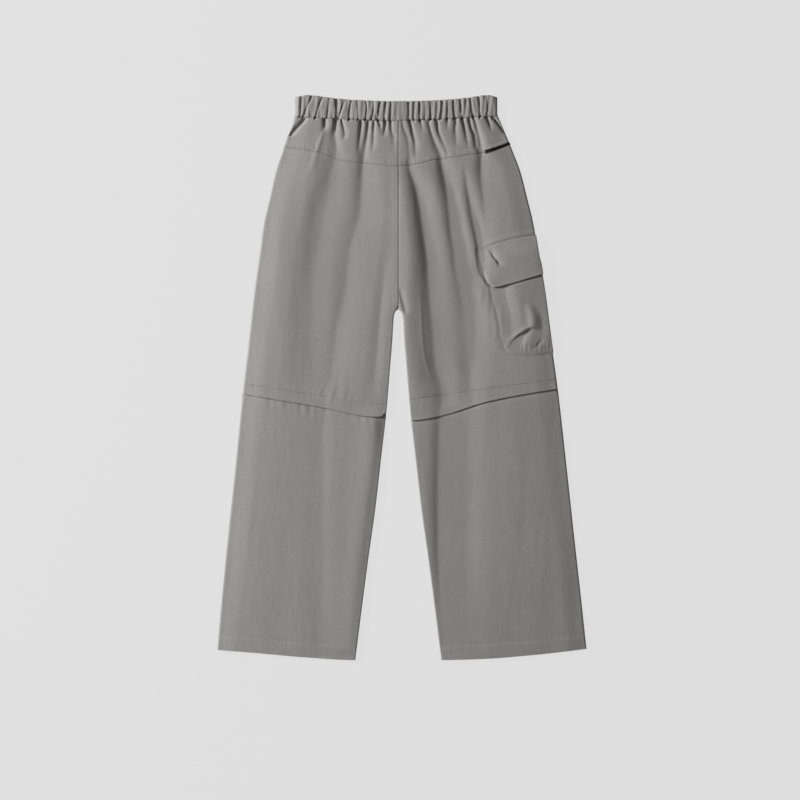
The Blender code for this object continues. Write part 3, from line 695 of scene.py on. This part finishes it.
def new_material(name, inputs):
    """A material, its node tree and its shader, with these values at the shader's inputs."""
    material = bpy.data.materials.new(name)
    material.use_nodes = True
    shader = material.node_tree.nodes["Principled BSDF"]
    for key, value in inputs.items():
        shader.inputs[key].default_value = value
    return material, material.node_tree, shader


def tinted(tree, colour, shade):
    """A colour, made lighter and darker by a shade around 1."""
    inputs = {0: 1.0, 6: (*colour, 1.0), 7: shade}
    return node(tree, "ShaderNodeMix", inputs, data_type="RGBA", blend_type="MULTIPLY").outputs[2]


def cloth_material(name, colour):
    """Woven cloth: a fine weave, uneven yarns, slow streaks along the legs and a faint nap."""
    inputs = {"Specular IOR Level": 0.22, "Sheen Weight": 0.16, "Sheen Roughness": 0.45}
    inputs["Sheen Tint"] = (0.9, 0.9, 0.92, 1.0)
    material, tree, shader = new_material(name, inputs)
    place = tree.nodes.new("ShaderNodeTexCoord").outputs["Object"]

    def noise(scale, detail, stretch=(1, 1, 1)):
        at = node(tree, "ShaderNodeMapping", {"Vector": place, "Scale": stretch}).outputs["Vector"]
        made = node(tree, "ShaderNodeTexNoise", {"Vector": at, "Scale": scale, "Detail": detail})
        return made.outputs["Fac"]

    def wave(direction, period):
        inputs = {"Vector": place, "Scale": 1 / (20 * period) * math.pi * 2}
        inputs |= {"Distortion": 1.2, "Detail": 2.0, "Detail Scale": 3.0}
        return node(tree, "ShaderNodeTexWave", inputs, bands_direction=direction).outputs["Fac"]

    def maths(operation, a, b):
        return node(tree, "ShaderNodeMath", {0: a, 1: b}, operation=operation).outputs[0]

    yarns = maths("MULTIPLY", wave("X", WEAVE * MM), wave("Y", WEAVE * MM * 1.15))
    slub = noise(900, 3, (1, 0.28, 1))
    melange = noise(420, 4)
    streak = noise(70, 4, (1, 0.06, 1))
    broad = noise(9, 3)
    shade = maths("MULTIPLY", melange, 0.34)
    for part, share in ((streak, 0.1), (broad, 0.12), (slub, 0.2), (yarns, 0.14)):
        shade = maths("ADD", shade, maths("MULTIPLY", part, share))
    tree.links.new(tinted(tree, colour, maths("ADD", shade, 0.585)), shader.inputs["Base Color"])
    rough = maths("ADD", maths("MULTIPLY", melange, 0.12), 0.8)
    tree.links.new(rough, shader.inputs["Roughness"])
    relief = maths("ADD", maths("MULTIPLY", yarns, 0.6), maths("MULTIPLY", slub, 0.5))
    fine = node(tree, "ShaderNodeBump", {"Height": relief, "Distance": 0.00025, "Strength": 0.8})
    inputs = {"Height": noise(160, 4, (1, 0.5, 1)), "Distance": 0.0008, "Strength": 0.35}
    inputs["Normal"] = fine.outputs["Normal"]
    tree.links.new(node(tree, "ShaderNodeBump", inputs).outputs["Normal"], shader.inputs["Normal"])
    return material


def plain_material(name, colour, roughness, shine, grain):
    """Thread or a zip: one colour, broken up by a fine grain."""
    inputs = {"Roughness": roughness, "Specular IOR Level": shine}
    material, tree, shader = new_material(name, inputs)
    place = tree.nodes.new("ShaderNodeTexCoord").outputs["Object"]
    inputs = {"Vector": place, "Scale": grain, "Detail": 4.0}
    speckle = node(tree, "ShaderNodeTexNoise", inputs).outputs["Fac"]
    shade = node(tree, "ShaderNodeMath", {0: speckle, 1: 0.6, 2: 0.7}, operation="MULTIPLY_ADD").outputs[0]
    tree.links.new(tinted(tree, colour, shade), shader.inputs["Base Color"])
    bump = node(tree, "ShaderNodeBump", {"Height": speckle, "Distance": 0.0001, "Strength": 0.6})
    tree.links.new(bump.outputs["Normal"], shader.inputs["Normal"])
    return material


# Meshes


def linked(name, data, place=(0, 0, 0)):
    """An object in the scene."""
    made = bpy.data.objects.new(name, data)
    made.location = place
    bpy.context.scene.collection.objects.link(made)
    return made


def make_object(name, points, faces, material):
    """A mesh object from points in millimetres and faces of four corners each, riding on the trousers."""
    mesh = bpy.data.meshes.new(name)
    count = len(faces)
    mesh.vertices.add(len(points))
    mesh.vertices.foreach_set("co", (points * MM).ravel())
    mesh.loops.add(count * 4)
    mesh.loops.foreach_set("vertex_index", faces.ravel())
    mesh.polygons.add(count)
    mesh.polygons.foreach_set("loop_start", np.arange(0, count * 4, 4))
    mesh.update(calc_edges=True)
    solid = bmesh.new()
    solid.from_mesh(mesh)
    bmesh.ops.recalc_face_normals(solid, faces=solid.faces)
    solid.to_mesh(mesh)
    solid.free()
    mesh.shade_smooth()
    mesh.set_sharp_from_angle(angle=math.radians(55))
    mesh.materials.append(material)
    made = linked(name, mesh)
    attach(made, "root")
    return made


def shell(name, outside, inside, material):
    """A closed thin shell between two grids of points, (rows, columns, 3), as one object."""
    rows, columns = outside.shape[:2]
    points = np.concatenate([outside.reshape(-1, 3), inside.reshape(-1, 3)])
    out, back = np.arange(2 * rows * columns).reshape(2, rows, columns)
    rim = np.concatenate([out[0], out[1:, -1], out[-1, -2::-1], out[-2:0:-1, 0]])
    rim_back = rim + rows * columns
    quads = []
    for grid in (out, back):
        corners = [grid[:-1, :-1], grid[:-1, 1:], grid[1:, 1:], grid[1:, :-1]]
        quads.append(np.stack(corners, -1).reshape(-1, 4))
    quads.append(np.stack([rim, rim_back, np.roll(rim_back, -1), np.roll(rim, -1)], -1))
    return make_object(name, points, np.concatenate(quads), material)


def panel(
    name, sides, rolls, foot, top, outside, inside, seam, rows, columns, rests_on,
    room=(ROLL, ROLL), material=None,
):
    """A piece of cloth between two side edges and two lines across, in place of the solid of its name.

    Each side rolls to the height seam over its width in room, as far as rolls says at each y, or not at all
    where rolls has None. rows and columns are numbers of even ones, and rows can also be shares of the way.
    """
    if isinstance(rows, int):
        rows = np.linspace(0, 1, rows)
    rolled = [ROLL_ANGLES if r else () for r in rolls]
    angles = np.concatenate([rolled[0], np.full(columns, math.pi / 2), rolled[1][::-1]])
    near = slice(None, len(rolled[0]))
    mid = slice(len(rolled[0]), len(rolled[0]) + columns)
    far = slice(len(rolled[0]) + columns, None)
    up = np.array(rows, float)[:, None]
    across = np.linspace(0, 1, columns) * (1 - up) + np.linspace(0, 1, columns) * up
    part = up * np.ones(len(angles))
    room = [width * bool(r) for width, r in zip(room, rolls, strict=True)]

    def grid(inset, surface):
        y = foot(np.zeros_like(part)) * (1 - part) + top(np.zeros_like(part)) * part
        for _ in range(SETTLING_STEPS):
            turn = [r(y) if r else np.zeros_like(y) for r in rolls]
            low, high = sides[0](y), sides[1](y)
            x = np.empty_like(part)
            thin = inset * turn[0]
            x[:, near] = (low + thin + (room[0] - thin) * (1 - np.cos(angles)))[:, near]
            thin = inset * turn[1]
            x[:, far] = (high - thin - (room[1] - thin) * (1 - np.cos(angles)))[:, far]
            x[:, mid] = (low + room[0])[:, mid] * (1 - across) + (high - room[1])[:, mid] * across
            y = foot(x) * (1 - part) + top(x) * part
        z = surface(x, y)
        for side, turned in ((near, turn[0]), (far, turn[1])):
            rim = z + (seam - z) * turned
            z[:, side] = (rim + (z - rim) * np.sin(angles))[:, side]
        return np.stack([x, y, z], -1)

    made = shell(f"{name}_look", grid(0, outside), grid(CLOTH, inside), material or CLOTH_LOOK)
    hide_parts(name)
    return made


# Pieces


def tucked(side_edge, inward, height):
    """A side edge drawn in above a height, so that the cloth passes under the knee flap."""
    return lambda y: side_edge(y) + inward * (WALL + GAP) * ease(height - TUCK_LENGTH, height, y)


def leg(side):
    """The name, the side edges and the rolls of one leg, -1 for the left one and 1 for the right."""
    name = "left" if side < 0 else "right"
    outer, inner = edge(OUTSEAM, name), centre_edge(side)
    sides = (outer, inner)[::-side]
    rolls = (always, below_crotch)[::-side]
    return name, sides, rolls


def back_of_leg(side):
    """Yoke, thigh, knee flap and lower leg, on the back of one leg."""
    name, sides, rolls = leg(side)
    stitch, flap_edge = line(FLAP_STITCH), line(FLAP_EDGE)
    both = (always, always)

    def back_panel(piece, sides, rolls, foot, top, outside, rows, columns, under):
        surfaces = outside, raised(outside, -CLOTH), SEAM_HEIGHT + GAP / 2
        room = (OUTER_ROLL, INNER_ROLL)[::-side]
        under = [f"{under}_{name}"]
        panel(f"{piece}_{name}", sides, rolls, foot, top, *surfaces, rows, columns, under, room)

    yoke_rolls = tuple(r if r is always else None for r in rolls)
    foot, top = moved(yoke_seam, GAP / 2), moved(band_foot, -GAP)
    back_panel("yoke_back", sides, yoke_rolls, foot, top, back_height, 54, 140, "thigh_front")
    foot, top = moved(stitch, GAP / 2), moved(yoke_seam, -GAP / 2)
    back_panel("thigh_back", sides, rolls, foot, top, back_height, 210, 120, "thigh_front")
    top = moved(stitch, -GAP / 2)
    back_panel("knee_flap_back", sides, both, flap_edge, top, back_height, 16, 170, "lower_leg_back")
    below = [flap_edge(s(np.zeros(1)))[0] - GAP for s in sides]
    inset = [tucked(s, inward, y) for s, inward, y in zip(sides, (1, -1), below, strict=True)]
    top = moved(flap_edge, FLAP_COVER)
    back_panel("lower_leg_back", inset, both, line(HEM), top, lower_height, 170, 110, "lower_leg_front")


def front_of_leg(side):
    """Thigh, knee flap and lower leg, on the front of one leg, flat on the ground."""
    name, sides, rolls = leg(side)
    stitch, flap_edge = moved(line(FLAP_STITCH), -SEAM_STAGGER), line(FLAP_EDGE)

    def inner(y):
        return centre_edge(side)(y) + SEAM_STAGGER * ease(CROTCH, CROTCH + 20, y)

    def front_panel(piece, rolls, foot, top, rows, columns):
        surfaces = front_height, raised(front_height, CLOTH), SEAM_HEIGHT - GAP / 2
        panel(f"{piece}_{name}", sides, rolls, foot, top, *surfaces, rows, columns, [])

    sides = (sides[0], inner) if side < 0 else (inner, sides[1])
    both = (always, always)
    foot, top = moved(stitch, GAP / 2), moved(band_foot, -GAP - SEAM_STAGGER)
    front_panel("thigh_front", rolls, foot, top, 110, 50)
    front_panel("knee_flap_front", both, flap_edge, moved(stitch, -GAP / 2), 8, 60)
    front_panel("lower_leg_front", both, line(HEM), moved(flap_edge, -GAP), 80, 50)


def folded_top(x, y):
    """How much of its thickness the waistband has left at (x, y), where it turns over its top edge."""
    down = np.clip((line(BAND_TOP)(x) - y) / BAND_TURN, 0, 1)
    return np.sqrt(np.maximum(1 - (1 - down) ** 2, BAND_RIM**2))


def turned_over(surface, middle):
    """A band's surface, drawn to the height of the band's middle where it turns over its top edge."""
    return lambda x, y: middle + (surface(x, y) - middle) * folded_top(x, y)


def waistband():
    """The elastic band's back half, gathered as it shows, and its front half on the ground."""
    sides = edge(OUTSEAM, "left"), edge(OUTSEAM, "right")
    foot, top = scalloped(BAND_FOOT, "foot", 2.2), scalloped(BAND_TOP, "top", -0.8)
    height = BAND_TOP["y"].mean() - BAND_FOOT["y"].mean()
    turn = BAND_TURN / height
    over = 1 - turn * np.array([0.8, 0.6, 0.4, 0.22, 0.08, 0])
    rows = np.concatenate([np.linspace(0, 1 - turn, 26), over])
    both = (always, always)
    middle = (BAND_INSIDE + BAND_RIDGE) / 2 - 1
    panel(
        "waistband_back", sides, both, foot, top,
        turned_over(band_height, middle), turned_over(level(BAND_INSIDE), middle),
        BAND_SEAM_HEIGHT + GAP / 2, rows, 360, ["waistband_front"],
    )
    middle = FRONT_BAND_HEIGHT / 2
    panel(
        "waistband_front", sides, both, moved(band_foot, -SEAM_STAGGER), top,
        turned_over(front_band_height, middle), turned_over(level(FRONT_BAND_HEIGHT), middle),
        BAND_SEAM_HEIGHT - GAP / 2, rows[::2], 200, [],
    )


def cargo_pocket():
    """The bag on the right thigh, sewn into the outseam on its right, and the lid over its mouth."""
    step = WALL + GAP
    outer = edge(OUTSEAM, "right")
    seam = SEAM_HEIGHT + GAP / 2

    def lid_outer(y):
        return outer(y) + step * (2 - ease(198, 214, y))

    panel(
        "cargo_pocket_bag", (edge(BAG_LEFT), moved(outer, step)), (None, always),
        line(BAG_FOOT), moved(line(LID_FOOT), BAG_TOP_COVER), bag_outside, bag_inside,
        seam, 110, 90, ["thigh_back_right"], (0, POCKET_ROLL),
    )
    panel(
        "cargo_pocket_lid", (edge(LID_LEFT), lid_outer), (None, always),
        line(LID_FOOT), line(LID_TOP), raised(lid_inside, CLOTH), lid_inside,
        seam, 60, 90, ["cargo_pocket_bag"], (0, POCKET_ROLL),
    )


def zip_height(x, y):
    """The zip's two tapes, with the ribs of its coil between them."""
    off = y - yoke_seam(x)
    teeth = 0.5 + 0.5 * np.cos(math.tau * (x + 0.35 * off) / ZIP_PITCH)
    return back_height(x, y) + GAP + 0.4 * CLOTH + 0.9 * bell(off + 0.8, 1.3) * (0.35 + 0.65 * teeth**2)


def zip_edge(side):
    """The lower or upper edge of what shows of the zip, which narrows towards the outseam."""
    return lambda x: yoke_seam(x) + side * (ZIP_WIDTH - 1.6 * ease(ZIP_START, ZIP_START + 45, x)) / 2


def pocket_zip():
    """The zip of the back pocket, in the seam under the right yoke, from its inner end to the outseam."""
    made = panel(
        "pocket_zip", (upright(ZIP_START), moved(edge(OUTSEAM, "right"), 0.9)), (None, always),
        zip_edge(-1), zip_edge(1), zip_height, raised(back_height, GAP),
        SEAM_HEIGHT + GAP / 2, 20, 240, ["thigh_back_right"], (0, POCKET_ROLL), ZIP_LOOK,
    )


# Stitches


def stitches(name, rows):
    """Rows of stitches as one mesh. Each row is its path (x, y) and the surface that it lies on.

    A stitch is a thread of four sides through four rings, and dips into the cloth at both ends.
    """
    ring = np.array([(0, 1), (1, 0), (0, -1), (-1, 0)], float)
    around = [(4 * k + j, 4 * k + (j + 1) % 4) for k in range(3) for j in range(4)]
    local = np.array([(a, b, b + 4, a + 4) for a, b in around] + [(3, 2, 1, 0), (12, 13, 14, 15)])
    swell = ((-0.5, 0.35, -0.5), (-0.3, 1.0, 0.1), (0.3, 1.0, 0.1), (0.5, 0.35, -0.5))
    points, quads = [], []
    for path, surface in rows:
        path = np.array(path, float)
        reach = np.concatenate([[0], np.cumsum(np.hypot(*np.diff(path, axis=0).T))])
        starts = np.arange(STITCH_PITCH / 2, reach[-1] - STITCH_PITCH / 2, STITCH_PITCH)
        middle = [np.interp(starts, reach, path[:, k]) for k in (0, 1)]
        ahead = [np.interp(starts + 0.5, reach, path[:, k]) - middle[k] for k in (0, 1)]
        size = np.hypot(*ahead)
        ux, uy = ahead[0] / size, ahead[1] / size
        first = sum(len(p) for p in points)
        block = np.empty((len(starts), len(swell) * 4, 3))
        for k, (along, thick, lift) in enumerate(swell):
            x = middle[0] + ux * along * STITCH
            y = middle[1] + uy * along * STITCH
            z = surface(x, y) + lift * THREAD * 0.5
            for j, (aside, upward) in enumerate(ring):
                block[:, 4 * k + j, 0] = x - uy * aside * THREAD * 0.5 * thick
                block[:, 4 * k + j, 1] = y + ux * aside * THREAD * 0.5 * thick
                block[:, 4 * k + j, 2] = z + upward * THREAD * 0.5 * thick
        points.append(block.reshape(-1, 3))
        quads.append((np.arange(len(starts))[:, None, None] * 16 + local + first).reshape(-1, 4))
    return make_object(name, np.concatenate(points), np.concatenate(quads), THREAD_LOOK)


def across(rows, left, right, step):
    """A row along a line across the trousers, moved up by step."""
    x = np.linspace(left, right, 200)
    return np.stack([x, curve(x, rows["x"], rows["y"]) + step], -1)


def down(place, high, low, step):
    """A row along an edge down the trousers, moved to the right by step."""
    y = np.linspace(high, low, 200)
    return np.stack([place(y) + step, y], -1)


def reach(sides, y):
    """Where a row of stitches across a leg starts and ends, at about the height y."""
    left, right = (side(np.array([y]))[0] for side in sides)
    return left + STITCH_INSET, right - STITCH_INSET


def all_stitches():
    """The rows of stitches: on each leg with the centre seam's, on the pocket, and a tack on one flap."""
    for side in (-1, 1):
        name, sides, _ = leg(side)
        rows = [
            (across(YOKE_SEAM, *reach(sides, 400.0), YOKE_STITCH), back_height),
            (across(FLAP_STITCH, *reach(sides, -20.0), 1.6), back_height),
            (across(HEM, *reach(sides, -470.0), HEM_DEPTH), lower_height),
        ]
        for high, low in ((444, 372), (366, 124)) if side < 0 else ():
            rows += [(down(upright(MIDDLE), high, low, step), back_height) for step in (-10, -2.2)]
        stitches(f"stitches_{name}", rows)
    bag_top = line(LID_FOOT)(np.array([160.0]))[0]
    on_bag, on_lid = bag_outside, raised(lid_inside, CLOTH)
    rows = [
        (across(LID_TOP, 135, 222, -3), on_lid),
        (across(LID_TOP, 135, 224, 6), back_height),
        (down(edge(LID_LEFT), 220, 165, 5), on_lid),
        (across(LID_FOOT, 155, 236, 5), on_lid),
        (down(edge(BAG_LEFT), bag_top, 50, 2.5), on_bag),
        (down(edge(BAG_LEFT), bag_top, 55, 9), on_bag),
        (across(BAG_FOOT, 192, 252, 2.5), on_bag),
        (across(BAG_FOOT, 198, 252, 9), on_bag),
    ]
    stitches("stitches_pocket", rows)
    tack = [([(31, -45.5 + step), (60, -36.5 + step)], back_height) for step in (0, 2.2)]
    stitches("stitches_tack", tack)


# The stage


def stage():
    """A pale floor, soft light from the upper left and the camera straight above."""
    floor = bpy.data.meshes.new("floor")
    floor.from_pydata([(-6, -6, 0), (6, -6, 0), (6, 6, 0), (-6, 6, 0)], [], [(0, 1, 2, 3)])
    ground = linked("floor", floor, (0, 0, -0.0004))
    inputs = {"Base Color": (0.03, 0.03, 0.03, 1), "Roughness": 1.0, "Specular IOR Level": 0.0}
    inputs |= {"Emission Color": (1, 1, 1, 1), "Emission Strength": FLOOR_GLOW}
    floor.materials.append(new_material("floor", inputs)[0])
    for name, (place, width, power) in LIGHTS.items():
        light = bpy.data.lights.new(name, "AREA")
        light.shape = "DISK"
        light.size = width
        light.energy = power
        lamp = linked(name, light, place)
        lamp.rotation_mode = "QUATERNION"
        lamp.rotation_quaternion = Vector(place).to_track_quat("Z", "Y")
    world = bpy.data.worlds.new("studio")
    world.use_nodes = True
    background = world.node_tree.nodes["Background"]
    background.inputs["Color"].default_value = (1, 1, 1, 1)
    background.inputs["Strength"].default_value = DAYLIGHT
    bpy.context.scene.world = world
    camera = bpy.data.cameras.new("camera")
    camera.lens = 85
    camera.sensor_width = 36
    bpy.context.scene.camera = linked("camera", camera, CAMERA_PLACE)
    view = bpy.context.scene.view_settings
    view.view_transform = "Standard"
    view.look = "None"


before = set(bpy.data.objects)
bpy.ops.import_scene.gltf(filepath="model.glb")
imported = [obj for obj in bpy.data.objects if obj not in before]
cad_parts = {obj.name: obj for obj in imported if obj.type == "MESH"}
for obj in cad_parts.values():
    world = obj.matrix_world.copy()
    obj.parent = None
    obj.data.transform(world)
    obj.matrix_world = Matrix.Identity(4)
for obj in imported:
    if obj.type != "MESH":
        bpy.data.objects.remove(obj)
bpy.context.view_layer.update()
CLOTH_LOOK = cloth_material("cloth_look", (0.27, 0.265, 0.258))
THREAD_LOOK = plain_material("thread_look", (0.42, 0.413, 0.402), 0.9, 0.5, 2500)
ZIP_LOOK = plain_material("zip_look", (0.003, 0.003, 0.0032), 0.42, 0.2, 1500)
waistband()
for leg_side in (-1, 1):
    back_of_leg(leg_side)
    front_of_leg(leg_side)
cargo_pocket()
pocket_zip()
all_stitches()
stage()
